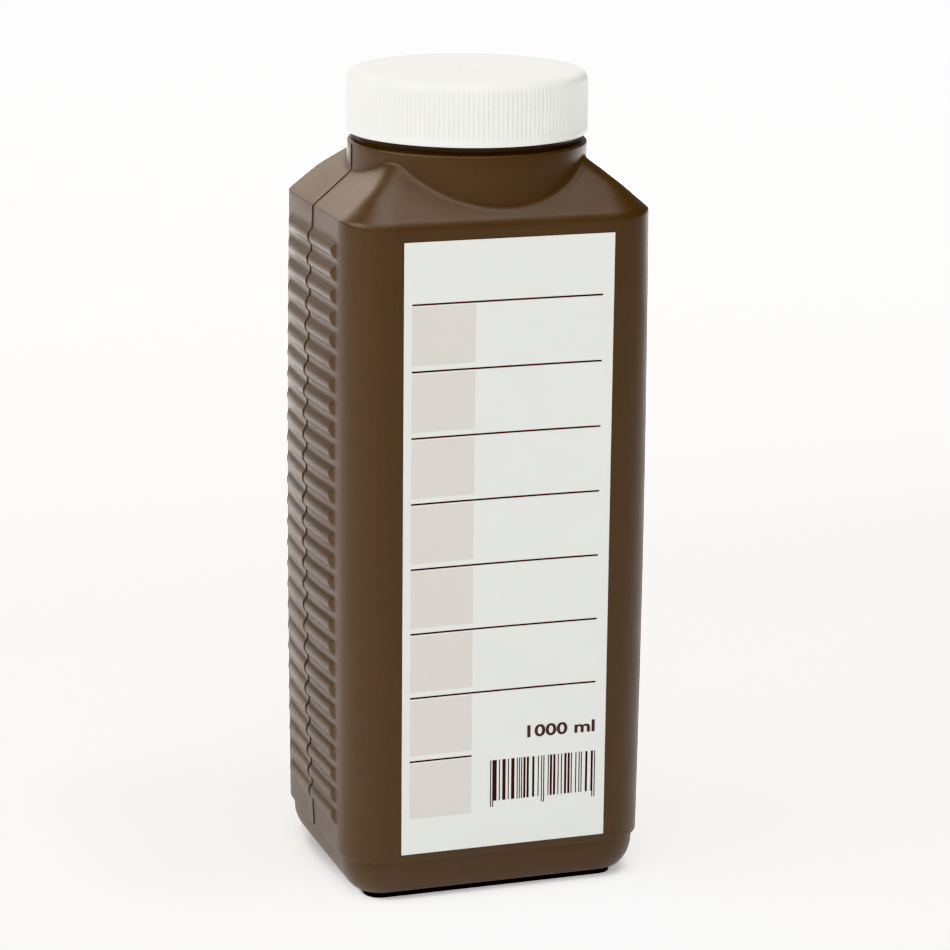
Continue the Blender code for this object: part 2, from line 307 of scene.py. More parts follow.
def add_thread(name, radius, start_z, turns):
    """A round bead along a right-handed helix, thinning into the wall at both ends."""
    start_clean()
    bpy.ops.mesh.primitive_circle_add(
        vertices=12,
        radius=THREAD_BEAD,
        location=(radius, 0.0, start_z),
        rotation=(math.pi / 2, 0.0, 0.0),
    )
    bpy.ops.object.transform_apply(location=True, rotation=True, scale=True)
    bead = bpy.context.object
    screw = bead.modifiers.new("Thread", "SCREW")
    screw.angle = math.tau * turns
    screw.screw_offset = THREAD_PITCH * turns
    screw.steps = round(72 * turns)
    screw.render_steps = screw.steps
    screw.use_merge_vertices = False
    apply_modifiers(bead)
    for vert in bead.data.vertices:
        x, y, z = vert.co
        part_turn = math.atan2(y, x) % math.tau / math.tau
        turn = part_turn + round((z - start_z) / THREAD_PITCH - part_turn)
        thickness = min(1.0, 0.15 + 10.0 * min(turn, turns - turn))
        level = start_z + THREAD_PITCH * turn
        from_axis = math.hypot(x, y)
        reach = radius + (from_axis - radius) * thickness
        thinned_z = level + (z - level) * thickness
        vert.co = (x * reach / from_axis, y * reach / from_axis, thinned_z)
    return close_ends(bead, name)


# The bottle's walls as one outline, repeated in rows from the base over the rim and back
# down inside. A station is one upright line of the outline: how far it sits along each
# straight side, from -1 to 1, and which way the wall faces there. Each row names the
# function that shapes it, with the sizes that the function takes.


def side_offsets():
    """Distances from the seam at which the side panels' columns stand, up to a corner."""
    near_seam = [0.0, 0.12 * MM, 0.3 * MM, 0.7 * MM]
    plain = [step * 3.2 * MM for step in range(1, 6)] + [18.4 * MM, 19.6 * MM]
    roll_end = [ROLL_STRAIGHT - 0.12 * MM + step * 0.22 * MM for step in range(10)]
    return near_seam + plain + roll_end


def station_of(x, y):
    """The station of a point on the plan's outline."""
    share_x = max(-1.0, min(1.0, x / FRONT_STRAIGHT))
    share_y = max(-1.0, min(1.0, y / SIDE_STRAIGHT))
    facing = Vector((x - share_x * FRONT_STRAIGHT, y - share_y * SIDE_STRAIGHT))
    return share_x, share_y, *facing.normalized()


def mid_height(z):
    """1 half-way up the panels, falling to 0 at the foot step and at the shoulder."""
    middle = (SHOULDER_Z + FOOT_STEP_Z) / 2
    half = (SHOULDER_Z - FOOT_STEP_Z) / 2
    return max(0.0, 1.0 - ((z - middle) / half) ** 2)


def side_bulge(y, z):
    """How far a side panel swells outwards, most in its middle."""
    across = max(0.0, 1.0 - (y / SIDE_STRAIGHT) ** 2)
    rise = SIDE_BULGE_CORNER + (SIDE_BULGE_MIDDLE - SIDE_BULGE_CORNER) * across
    return mid_height(z) * rise


def front_sink(x, z):
    """How far the front and back panels are drawn in, most in their middle."""
    return mid_height(z) * FRONT_SINK * max(0.0, 1.0 - (x / FRONT_STRAIGHT) ** 2)


def roll_rise(y, z):
    """How far the nearest grip roll stands out of the panel."""
    nearest = max(0, min(ROLL_COUNT - 1, round((ROLL_TOP_Z - z) / ROLL_PITCH)))
    level = ROLL_TOP_Z - nearest * ROLL_PITCH
    past_end = max(0.0, abs(y) - ROLL_STRAIGHT)
    inside = ROLL_RADIUS * ROLL_RADIUS - (z - level) ** 2
    if inside <= 0.0:
        return 0.0
    round_height = math.sqrt(inside) - ROLL_SUNK
    cut_height = ROLL_RADIUS - ROLL_SUNK - ROLL_END_TAPER * past_end
    height = min(round_height, cut_height)
    return (height + math.sqrt(height * height + ROLL_FILLET * ROLL_FILLET)) / 2


def seam_rise(y):
    """The parting groove, with the back half of the mould standing a little proud."""
    groove = -SEAM_DEPTH * math.exp(-(((y + SEAM_FORWARD) / SEAM_WIDTH) ** 2))
    in_back_half = y > -0.01 * MM
    proud = SEAM_STEP * math.exp(-y / SEAM_STEP_REACH) if in_back_half else 0.0
    return groove + proud


def outline_point(station, inset, least_radius=LEAST_HIP_RADIUS):
    """Where a station meets the plan's outline, drawn in by the inset."""
    share_x, share_y, face_x, face_y = station
    radius = max(CORNER_RADIUS - inset, least_radius)
    x = share_x * (WIDTH / 2 - inset - radius) + radius * face_x
    y = share_y * (DEPTH / 2 - inset - radius) + radius * face_y
    return x, y


def on_side(station):
    """True on the two straight side panels, which hold the rolls and the seam."""
    return abs(station[2]) > 0.999


def wall_point(station, inset, z):
    """A point of the outer wall, with its bulge, grip rolls and seam."""
    x, y = outline_point(station, inset)
    out = side_bulge(y, z) * station[2]
    if on_side(station):
        out += (roll_rise(y, z) + seam_rise(y)) * station[2]
    return x + out, y - front_sink(x, z) * station[3], z


def base_point(station, inset, z):
    """A point of the base and foot, which are plain."""
    x, y = outline_point(station, inset)
    return x, y, z


def inner_point(station, inset, z):
    """A point of the inner wall, which follows the bulge but not the rolls."""
    x, y = outline_point(station, inset, INNER_CORNER_RADIUS)
    return x + side_bulge(y, z) * station[2], y - front_sink(x, z) * station[3], z


def roof_inset(x, y):
    """How far in from the walls a point of the shoulder lies, with softened hips."""
    from_side = WIDTH / 2 - abs(x)
    from_front = DEPTH / 2 - abs(y)
    if from_side < CORNER_RADIUS and from_front < CORNER_RADIUS:
        cone = CORNER_RADIUS - math.hypot(CORNER_RADIUS - from_side, CORNER_RADIUS - from_front)
        if cone < CORNER_RADIUS - LEAST_HIP_RADIUS:
            return cone
    spread = from_side - from_front
    if abs(spread) >= LEAST_HIP_RADIUS:
        return min(from_side, from_front)
    radius = LEAST_HIP_RADIUS
    both = from_side + from_front - 2 * radius
    return (both + math.sqrt(2 * radius * radius - spread * spread)) / 2


def roof_height(x, y, station):
    """Height of the hipped shoulder, with the seam running over it."""
    seam = seam_rise(y) if on_side(station) else 0.0
    return SHOULDER_Z + SHOULDER_SLOPE * roof_inset(x, y) + seam


def edge_radius(station):
    """The shoulder's edge is soft at the front and back and crisp at the sides."""
    share = abs(station[3])
    blend = share * share * (3.0 - 2.0 * share)
    return SIDE_EDGE_RADIUS + (FRONT_EDGE_RADIUS - SIDE_EDGE_RADIUS) * blend


def shoulder_edge_point(station, share):
    """A point of the rounding from the wall, at share 0, to the shoulder, at share 1."""
    radius = edge_radius(station)
    angle = TURN_TO_ROOF * share
    start_z = SHOULDER_Z - radius * math.tan(TURN_TO_ROOF / 2)
    inset = radius * (1.0 - math.cos(angle))
    x, y = outline_point(station, inset)
    out = seam_rise(y) * station[2] * (1.0 - share) if on_side(station) else 0.0
    seam = seam_rise(y) * share if on_side(station) else 0.0
    return x + out, y, start_z + radius * math.sin(angle) + seam


def circle_point(station, radius):
    """Where a station's line meets a circle about the neck's axis."""
    x, y = outline_point(station, 0.0)
    length = math.hypot(x, y)
    return x * radius / length, y * radius / length


def roof_point(station, share):
    """A point of the shoulder, from its edge to the fillet at the collar."""
    start_x, start_y, start_z = shoulder_edge_point(station, 1.0)
    end_x, end_y = circle_point(station, COLLAR_RADIUS + COLLAR_FILLET)
    x = start_x + (end_x - start_x) * share
    y = start_y + (end_y - start_y) * share
    return x, y, roof_height(x, y, station)


def collar_foot_point(station, out, up):
    """A point of the fillet between the shoulder and the collar."""
    x, y = circle_point(station, COLLAR_RADIUS + out)
    return x, y, roof_height(x, y, station) + up


def collar_point(station, share):
    """A point of the collar's wall, from its fillet to under the ledge."""
    x, y = circle_point(station, COLLAR_RADIUS)
    foot_z = roof_height(x, y, station) + COLLAR_FILLET * 1.2
    if on_side(station):
        x, y = circle_point(station, COLLAR_RADIUS + seam_rise(y))
    return x, y, foot_z + (LEDGE_Z - 0.6 * MM - foot_z) * share


def round_point(station, radius, z):
    """A point of the round neck, rim and bore."""
    x, y = circle_point(station, radius)
    return x, y, z


def inner_roof_point(station, share):
    """A point of the shoulder's inner side, from the walls to the collar."""
    start_x, start_y = outline_point(station, WALL)
    end_x, end_y = circle_point(station, COLLAR_RADIUS - WALL)
    x = start_x + (end_x - start_x) * share
    y = start_y + (end_y - start_y) * share
    return x, y, SHOULDER_Z - 1.7 * MM + SHOULDER_SLOPE * roof_inset(x, y)


def foot_inset(z):
    """How far the foot's rounded sides lie in from the walls at a height."""
    drop = (FOOT_EDGE_Z + FOOT_CURVE_HEIGHT - z) / FOOT_CURVE_HEIGHT
    drop = max(0.0, min(1.0, drop))
    return STEP_IN + FOOT_CURVE_IN * (1.0 - math.sqrt(1.0 - drop * drop))


def base_rows():
    """From the raised middle of the base, over the standing ring, to the foot's curve."""
    ring_outer = STEP_IN + FOOT_CURVE_IN + UNDERCUT
    ring_inner = ring_outer + STANDING_RING
    rise = [(1.0, 1.0), (0.86, 0.97), (0.66, 0.78), (0.3, 0.25), (0.12, 0.07), (0.0, 0.0)]
    rows = [(base_point, ring_inner + PUSH_UP_RUN * run, PUSH_UP * up) for run, up in rise]
    under = [(0.3, 0.0), (0.08, 0.1), (-0.15, 0.4), (-0.4, 0.75), (-1.0, 1.0), (-2.4, 1.15)]
    rows += [(base_point, ring_outer + inset * MM, z * MM) for inset, z in under]
    edge_inset = foot_inset(FOOT_EDGE_Z)
    rows += [(base_point, edge_inset + 0.35 * MM, FOOT_EDGE_Z - 0.14 * MM)]
    rows += [(base_point, edge_inset + 0.1 * MM, FOOT_EDGE_Z - 0.06 * MM)]
    rises = (0.06, 0.2, 0.5, 1.0, 1.7, 2.6, 3.7, 5.0, 6.8, 9.0)
    rows += [(base_point, foot_inset(FOOT_EDGE_Z + z * MM), FOOT_EDGE_Z + z * MM) for z in rises]
    return rows


def step_rows():
    """The small ledge where the walls start above the set-in foot."""
    levels = [(1.10, -0.45), (1.06, -0.22), (0.90, -0.10), (0.28, -0.02), (0.08, 0.10), (0.0, 0.35)]
    return [(wall_point, inset * MM, FOOT_STEP_Z + z * MM) for inset, z in levels]


def panel_rows():
    """Level rows up the panels, close together over every grip roll."""
    roll_edge = math.sqrt(ROLL_RADIUS**2 - ROLL_SUNK**2)
    half = [0.0, 0.3, 0.58, 0.81, 0.96, 1.06]
    around = [-ROLL_PITCH / 2] + [-share * roll_edge for share in reversed(half[1:])]
    around += [share * roll_edge for share in half]
    lowest = ROLL_TOP_Z - (ROLL_COUNT - 1) * ROLL_PITCH
    heights = [FOOT_STEP_Z + 1.6 * MM, FOOT_STEP_Z + 3.2 * MM]
    for roll in range(ROLL_COUNT):
        heights += [lowest + roll * ROLL_PITCH + offset for offset in around]
    heights += [ROLL_TOP_Z + 3.4 * MM, ROLL_TOP_Z + 5.4 * MM]
    return [(wall_point, 0.0, z) for z in heights]


def shoulder_rows():
    """Over the shoulder's edge, up the hips and up the collar."""
    rows = [(shoulder_edge_point, share / 6) for share in range(7)]
    rows += [(roof_point, share / 9) for share in range(1, 10)]
    rows += [(collar_foot_point, 0.30 * MM, 0.12 * MM), (collar_foot_point, 0.06 * MM, 0.45 * MM)]
    rows += [(collar_point, share) for share in (0.0, 0.3, 0.65, 1.0)]
    return rows


def neck_rows():
    """Over the collar's ledge, up the neck, over the rim and down the bore."""
    edge = [(-0.05, -0.35), (-0.2, -0.15), (-0.45, -0.03), (-0.75, 0.0)]
    rows = [(round_point, COLLAR_RADIUS + out * MM, LEDGE_Z + up * MM) for out, up in edge]
    rows += [(round_point, NECK_RADIUS + 0.5 * MM, LEDGE_Z)]
    rows += [(round_point, NECK_RADIUS, LEDGE_Z + 0.5 * MM)]
    rim = [(0.0, -1.0), (0.0, -0.4), (-0.12, -0.12), (-0.4, 0.0)]
    rows += [(round_point, NECK_RADIUS + out * MM, RIM_Z + up * MM) for out, up in rim]
    bore = [(0.4, 0.0), (0.12, -0.12), (0.0, -0.4), (0.0, -7.0), (0.0, -14.0)]
    rows += [(round_point, BORE_RADIUS + out * MM, RIM_Z + up * MM) for out, up in bore]
    return rows


def inner_rows():
    """From under the collar's ledge down the inner walls to the inner floor."""
    inside = COLLAR_RADIUS - WALL
    rows = [(round_point, BORE_RADIUS + 0.6 * MM, LEDGE_Z - 1.9 * MM)]
    rows += [(round_point, inside - 0.6 * MM, LEDGE_Z - 2.4 * MM)]
    rows += [(round_point, inside, LEDGE_Z - 3.0 * MM)]
    rows += [(inner_roof_point, 1.0 - share / 5) for share in range(5)]
    top = SHOULDER_Z - 0.6 * MM
    bottom = FOOT_STEP_Z + STEP_IN + 2.0 * WALL
    rows += [(inner_point, WALL, top + (bottom - top) * step / 12) for step in range(13)]
    rows += [(inner_point, STEP_IN + WALL, FOOT_STEP_Z + WALL)]
    levels = (10.4 * MM, 6.5 * MM, 4.2 * MM)
    rows += [(inner_point, foot_inset(z - FLOOR_THICKNESS) + WALL, z) for z in levels]
    rows += [(inner_point, foot_inset(FOOT_EDGE_Z) + WALL / 2, FOOT_EDGE_Z + WALL)]
    ring_outer = STEP_IN + FOOT_CURVE_IN + UNDERCUT
    ring_inner = ring_outer + STANDING_RING
    rows += [(inner_point, ring_outer, FLOOR_THICKNESS), (inner_point, ring_inner, FLOOR_THICKNESS)]
    rows += [(inner_point, ring_inner + PUSH_UP_RUN, FLOOR_THICKNESS + PUSH_UP)]
    return rows


def add_wall_outline():
    """The plan of the walls: a rectangle with rounded corners, its sides cut finely."""
    start_clean()
    bpy.ops.mesh.primitive_plane_add(size=1.0)
    edit()
    bpy.ops.transform.resize(value=(WIDTH, DEPTH, 1.0))
    bpy.ops.mesh.bevel(offset=CORNER_RADIUS, segments=CORNER_STEPS, affect="VERTICES")
    bpy.ops.mesh.delete(type="ONLY_FACE")
    side_x = WIDTH / 2 - 0.01 * MM
    front_y = DEPTH / 2 - 0.01 * MM
    choose("EDGE", lambda edge: all(abs(vert.co.x) > side_x for vert in edge.verts))
    bpy.ops.mesh.subdivide(number_cuts=2 * len(side_offsets()) - 1)
    choose("EDGE", lambda edge: all(abs(vert.co.y) > front_y for vert in edge.verts))
    bpy.ops.mesh.subdivide(number_cuts=FRONT_CUTS)
    return leave_edit("wall_outline")


def spread_side_columns(outline):
    """Moves the cuts on both side panels to where the seam and the rolls' ends need them."""
    offsets = side_offsets()
    places = sorted({-offset for offset in offsets} | set(offsets))
    for side in (-1.0, 1.0):
        panel = [v for v in outline.data.vertices if v.co.x * side > WIDTH / 2 - 0.01 * MM]
        panel.sort(key=lambda vert: vert.co.y)
        for vert, place in zip(panel[1:-1], places):
            vert.co.y = place


def settle_rows(piece, rows):
    """Gives every stacked row its own shape and height."""
    for vert in piece.data.vertices:
        shape, *sizes = rows[round(vert.co.z / MM)]
        vert.co = shape(station_of(vert.co.x, vert.co.y), *sizes)


def build_bottle(material):
    """One closed shell with its wall, and the thread's bead around the neck."""
    rows = base_rows() + step_rows() + panel_rows() + shoulder_rows() + neck_rows() + inner_rows()
    shell = add_wall_outline()
    spread_side_columns(shell)
    stack_rows(shell, len(rows))
    settle_rows(shell, rows)
    shell = close_ends(shell, "bottle_shell")
    thread = add_thread("neck_thread", NECK_RADIUS, NECK_THREAD_Z, 1.5)
    bottle = join([shell, thread])
    smooth(bottle, 32.0)
    finish_piece(bottle, material, "bottle", "brown_polyethylene", "bottle")


# The cap and its liner


def cap_rows():
    """Radius, height and share of the rib depth: over the top, down outside, up inside."""
    top = CAP_TOP_Z
    rows = [(0.9 * MM, top - 0.5 * MM, 0.0), (1.5 * MM, top - 0.46 * MM, 0.0)]
    rows += [(1.9 * MM, top - 0.25 * MM, 0.0), (2.1 * MM, top - 0.04 * MM, 0.0)]
    rows += [(2.3 * MM, top, 0.0), (12.0 * MM, top, 0.0), (22.0 * MM, top, 0.0)]
    rounding = 2.5 * MM
    skirt = CAP_RADIUS - 0.25 * MM
    for step in range(9):
        angle = math.pi / 2 * step / 8
        radius = skirt - rounding * (1.0 - math.sin(angle))
        height = top - rounding * (1.0 - math.cos(angle))
        rows.append((radius, height, max(0.0, min(1.0, (step - 4.0) / 4.0))))
    bottom = CAP_BOTTOM_Z
    for height in (top - 5.0 * MM, top - 9.0 * MM, bottom + 2.4 * MM):
        rows.append((skirt + 0.1 * MM, height, 1.0))
    rows += [(skirt + 0.14 * MM, bottom + 1.7 * MM, 0.9)]
    rows += [(CAP_RADIUS - 0.08 * MM, bottom + 1.35 * MM, 0.0)]
    rows += [(CAP_RADIUS, bottom + 1.1 * MM, 0.0), (CAP_RADIUS, bottom + 0.4 * MM, 0.0)]
    rows += [(CAP_RADIUS - 0.12 * MM, bottom + 0.12 * MM, 0.0), (CAP_RADIUS - 0.4 * MM, bottom, 0.0)]
    rows += [(CAP_INNER_RADIUS + 0.3 * MM, bottom, 0.0), (CAP_INNER_RADIUS, bottom + 0.3 * MM, 0.0)]
    under = top - CAP_PLATE
    rows += [(CAP_INNER_RADIUS, bottom + 7.0 * MM, 0.0), (CAP_INNER_RADIUS, under - 0.5 * MM, 0.0)]
    rows += [(CAP_INNER_RADIUS - 0.5 * MM, under, 0.0), (15.0 * MM, under, 0.0), (1.5 * MM, under, 0.0)]
    return rows


def build_cap(material):
    """The cap as a stack of rings, four columns to a rib, with its inner thread."""
    rows = cap_rows()
    start_clean()
    columns = CAP_RIB_COUNT * len(CAP_RIB_SHAPE)
    bpy.ops.mesh.primitive_circle_add(vertices=columns, radius=CAP_RADIUS)
    cap = bpy.context.object
    stack_rows(cap, len(rows))
    for vert in cap.data.vertices:
        radius, height, rib_share = rows[round(vert.co.z / MM)]
        angle = math.atan2(vert.co.y, vert.co.x)
        column = round(angle / math.tau * columns)
        radius -= CAP_RIB_DEPTH * rib_share * CAP_RIB_SHAPE[column % len(CAP_RIB_SHAPE)]
        vert.co = (radius * math.cos(angle), radius * math.sin(angle), height)
    cap = close_ends(cap, "ribbed_cap")
    below_neck_thread = NECK_THREAD_Z - THREAD_PITCH / 2
    thread = add_thread("cap_thread", CAP_INNER_RADIUS, below_neck_thread, 1.25)
    cap = join([cap, thread])
    smooth(cap, 40.0)
    finish_piece(cap, material, "cap", "white_polypropylene", "cap")


def is_level_edge(edge):
    return len({round(vert.co.z, 6) for vert in edge.verts}) == 1


def is_underside(face):
    """True for the disc's many-sided lower face, not for the bands inset in it."""
    return face.normal.z < -0.99 and len(face.verts) > 8


def build_liner(material):
    """A foam disc with two pressed sealing rings on the side that meets the rim."""
    start_clean()
    thickness = liner_high[2] - liner_low[2]
    middle_z = (liner_high[2] + liner_low[2]) / 2
    bpy.ops.mesh.primitive_cylinder_add(
        vertices=96, radius=liner_high[0], depth=thickness, location=(0.0, 0.0, middle_z)
    )
    bpy.ops.object.transform_apply(location=True)
    edit()
    choose("EDGE", is_level_edge)
    bpy.ops.mesh.bevel(offset=0.2 * MM, segments=3)
    for inset, depth in ((1.2, -0.12), (0.5, 0.12), (1.4, -0.12), (0.5, 0.12)):
        choose("FACE", is_underside)
        bpy.ops.mesh.inset(thickness=inset * MM, depth=0.0)
        choose("FACE", is_underside)
        bpy.ops.mesh.inset(thickness=0.15 * MM, depth=depth * MM)
    liner = leave_edit("liner_disc")
    smooth(liner, 35.0)
    finish_piece(liner, material, "liner", "white_foam", "cap_liner")


# The label and its print


def panel_face(x, z):
    """Where the sunken front panel's face lies, as a place along Y."""
    return front_sink(x, z) - DEPTH / 2


def build_label(material):
    """A thin sheet that follows the sunken front panel."""
    start_clean()
    bpy.ops.mesh.primitive_grid_add(x_subdivisions=24, y_subdivisions=48, size=1.0)
    label = bpy.context.object
    left, right = label_low[0], label_high[0]
    bottom, top = label_low[2], label_high[2]
    for vert in label.data.vertices:
        x = left + (right - left) * (vert.co.x + 0.5)
        z = bottom + (top - bottom) * (vert.co.y + 0.5)
        vert.co = (x, panel_face(x, z) - LABEL_GAP, z)
    paper = label.modifiers.new("Paper", "SOLIDIFY")
    paper.thickness = LABEL_THICKNESS
    paper.offset = 1.0
    apply_modifiers(label)
    edit()
    bpy.ops.mesh.select_all(action="SELECT")
    bpy.ops.mesh.normals_make_consistent(inside=False)
    label = leave_edit("label_sheet")
    smooth(label, 30.0)
    finish_piece(label, material, "bottle", "printed_paper", "front_label")


def build_volume_print(material):
    """The bottle's content, printed above the bars."""
    start_clean()
    bpy.ops.object.text_add(rotation=(math.pi / 2, 0.0, 0.0))
    text = bpy.context.object
    text.data.body = "1000 ml"
    text.data.size = 5.0 * MM
    text.data.offset = VOLUME_TEXT_WEIGHT
    text.data.extrude = INK_THICKNESS / 2
    text.data.resolution_u = 4
    bpy.ops.object.convert(target="MESH")
    bpy.ops.object.transform_apply(location=True, rotation=True, scale=True)
    edit()
    bpy.ops.mesh.select_all(action="SELECT")
    bpy.ops.mesh.remove_doubles(threshold=0.001 * MM)
    bpy.ops.mesh.normals_make_consistent(inside=False)
    text = leave_edit("volume_print")
    corners = [vert.co.copy() for vert in text.data.vertices]
    low_x = min(corner.x for corner in corners)
    low_z = min(corner.z for corner in corners)
    width = max(corner.x for corner in corners) - low_x
    height = max(corner.z for corner in corners) - low_z
    for vert in text.data.vertices:
        x = PRINT_RIGHT - VOLUME_TEXT_WIDTH * (1.0 - (vert.co.x - low_x) / width)
        z = VOLUME_TEXT_BASE_Z + VOLUME_TEXT_HEIGHT * (vert.co.z - low_z) / height
        vert.co = (x, panel_face(x, z) - INK_OUT + vert.co.y, z)
    finish_piece(text, material, "bottle", "printed_paper")


# Material helpers


def new_material(name):
    material = bpy.data.materials.new(name)
    material.use_nodes = True
    tree = material.node_tree
    return material, tree, tree.nodes["Principled BSDF"]


def add_node(tree, kind, **settings):
    node = tree.nodes.new(kind)
    for name, value in settings.items():
        setattr(node, name, value)
    return node


def feed(tree, socket, value):
    """Links an output to a socket, or sets the socket's own number."""
    if isinstance(value, bpy.types.NodeSocket):
        tree.links.new(value, socket)
    else:
        socket.default_value = value


def calculate(tree, operation, first, second=0.0, third=0.0):
    node = add_node(tree, "ShaderNodeMath", operation=operation)
    for socket, value in zip(node.inputs, (first, second, third)):
        feed(tree, socket, value)
    return node.outputs[0]


def between(tree, value, low, high):
    """1 where the value lies between the two limits, otherwise 0."""
    above = calculate(tree, "GREATER_THAN", value, low)
    below = calculate(tree, "LESS_THAN", value, high)
    return calculate(tree, "MULTIPLY", above, below)


def soft_step(tree, value, start, end):
    """0 up to the start, 1 from the end on, with a smooth curve between them."""
    node = add_node(tree, "ShaderNodeMapRange", interpolation_type="SMOOTHSTEP")
    feed(tree, node.inputs["Value"], value)
    feed(tree, node.inputs["From Min"], start)
    feed(tree, node.inputs["From Max"], end)
    return node.outputs["Result"]


def mix_colour(tree, share, first, second):
    node = add_node(tree, "ShaderNodeMix", data_type="RGBA")
    feed(tree, node.inputs["Factor"], share)
    feed(tree, node.inputs["A"], first)
    feed(tree, node.inputs["B"], second)
    return node.outputs["Result"]


def object_axes(tree):
    """The three Object coordinates of a shaded point."""
    coordinates = add_node(tree, "ShaderNodeTexCoord")
    axes = add_node(tree, "ShaderNodeSeparateXYZ")
    feed(tree, axes.inputs[0], coordinates.outputs["Object"])
    return axes.outputs


def colour(red, green, blue):
    return red, green, blue, 1.0


def new_group(name, inputs, outputs):
    """A shader node group with the named number sockets."""
    group = bpy.data.node_groups.new(name, "ShaderNodeTree")
    for socket in inputs:
        group.interface.new_socket(socket, in_out="INPUT", socket_type="NodeSocketFloat")
    for socket in outputs:
        group.interface.new_socket(socket, in_out="OUTPUT", socket_type="NodeSocketFloat")
    start = add_node(group, "NodeGroupInput")
    end = add_node(group, "NodeGroupOutput")
    return group, start.outputs, end.inputs


def surface_grain_group():
    """Fine grain and slow mottling of a moulded or coated surface, in cells per metre."""
    group, given, wanted = new_group(
        "surface grain", ("Grain Scale", "Mottle Scale"), ("Grain", "Mottle")
    )
    coordinates = add_node(group, "ShaderNodeTexCoord")
    for scale, result, detail in (("Grain Scale", "Grain", 2.0), ("Mottle Scale", "Mottle", 4.0)):
        noise = add_node(group, "ShaderNodeTexNoise")
        feed(group, noise.inputs["Vector"], coordinates.outputs["Object"])
        feed(group, noise.inputs["Scale"], given[scale])
        feed(group, noise.inputs["Detail"], detail)
        feed(group, wanted[result], noise.outputs["Fac"])
    return group


def use_grain(tree, group, grain_scale, mottle_scale):
    node = add_node(tree, "ShaderNodeGroup", node_tree=group)
    feed(tree, node.inputs["Grain Scale"], grain_scale)
    feed(tree, node.inputs["Mottle Scale"], mottle_scale)
    return node.outputs["Grain"], node.outputs["Mottle"]


def bump(tree, shader, height, distance):
    node = add_node(tree, "ShaderNodeBump")
    feed(tree, node.inputs["Height"], height)
    feed(tree, node.inputs["Distance"], distance)
    feed(tree, shader.inputs["Normal"], node.outputs["Normal"])


def vary_roughness(tree, shader, noise, low, high):
    """Spreads the roughness between the two limits as the noise goes from 0.3 to 0.7."""
    node = add_node(tree, "ShaderNodeMapRange")
    feed(tree, node.inputs["Value"], noise)
    feed(tree, node.inputs["From Min"], 0.3)
    feed(tree, node.inputs["From Max"], 0.7)
    feed(tree, node.inputs["To Min"], low)
    feed(tree, node.inputs["To Max"], high)
    feed(tree, shader.inputs["Roughness"], node.outputs["Result"])


# The materials


def brown_plastic(grain_group):
    """Blown polyethylene, with painted shade darkening the groove of the parting seam and its line
    under the base.
    """
    material, tree, shader = new_material("brown_blown_polyethylene")
    grain, mottle = use_grain(tree, grain_group, 2600.0, 55.0)
    brown = mix_colour(tree, mottle, colour(0.039, 0.0185, 0.006), colour(0.052, 0.026, 0.010))
    x, y, z = object_axes(tree)
    # Painted shade: a dark line along the seam's groove on the walls, shoulder and collar, and under
    # the base
    from_groove = calculate(tree, "ABSOLUTE", calculate(tree, "ADD", y, SEAM_SHADE_FORWARD))
    from_seam = calculate(tree, "DIVIDE", from_groove, SEAM_SHADE_WIDTH)
    line = calculate(tree, "SUBTRACT", 1.0, calculate(tree, "MINIMUM", from_seam, 1.0))
    outside = calculate(tree, "GREATER_THAN", calculate(tree, "ABSOLUTE", x), COLLAR_RADIUS - MM)
    under = calculate(tree, "LESS_THAN", z, SEAM_UNDER_Z)
    seam = calculate(tree, "MULTIPLY", line, calculate(tree, "MAXIMUM", outside, under))
    painted_seam_shade = calculate(tree, "MULTIPLY", seam, SEAM_SHADE)
    base = mix_colour(tree, painted_seam_shade, brown, colour(0.012, 0.006, 0.003))
    feed(tree, shader.inputs["Base Color"], base)
    vary_roughness(tree, shader, mottle, 0.38, 0.46)
    bump(tree, shader, grain, 0.05 * MM)
    shader.inputs["IOR"].default_value = 1.5
    shader.inputs["Specular IOR Level"].default_value = 0.46
    shader.inputs["Specular Tint"].default_value = colour(1.0, 0.93, 0.86)
    return material


def white_plastic(grain_group):
    material, tree, shader = new_material("white_moulded_polypropylene")
    grain, mottle = use_grain(tree, grain_group, 1800.0, 70.0)
    white = mix_colour(tree, mottle, colour(0.64, 0.64, 0.615), colour(0.69, 0.69, 0.665))
    feed(tree, shader.inputs["Base Color"], white)
    vary_roughness(tree, shader, mottle, 0.36, 0.46)
    bump(tree, shader, grain, 0.02 * MM)
    shader.inputs["IOR"].default_value = 1.49
    return material


def liner_foam(grain_group):
    material, tree, shader = new_material("closed_cell_foam")
    grain, mottle = use_grain(tree, grain_group, 3500.0, 160.0)
    white = mix_colour(tree, mottle, colour(0.70, 0.70, 0.68), colour(0.80, 0.80, 0.78))
    feed(tree, shader.inputs["Base Color"], white)
    vary_roughness(tree, shader, mottle, 0.7, 0.85)
    bump(tree, shader, grain, 0.08 * MM)
    return material


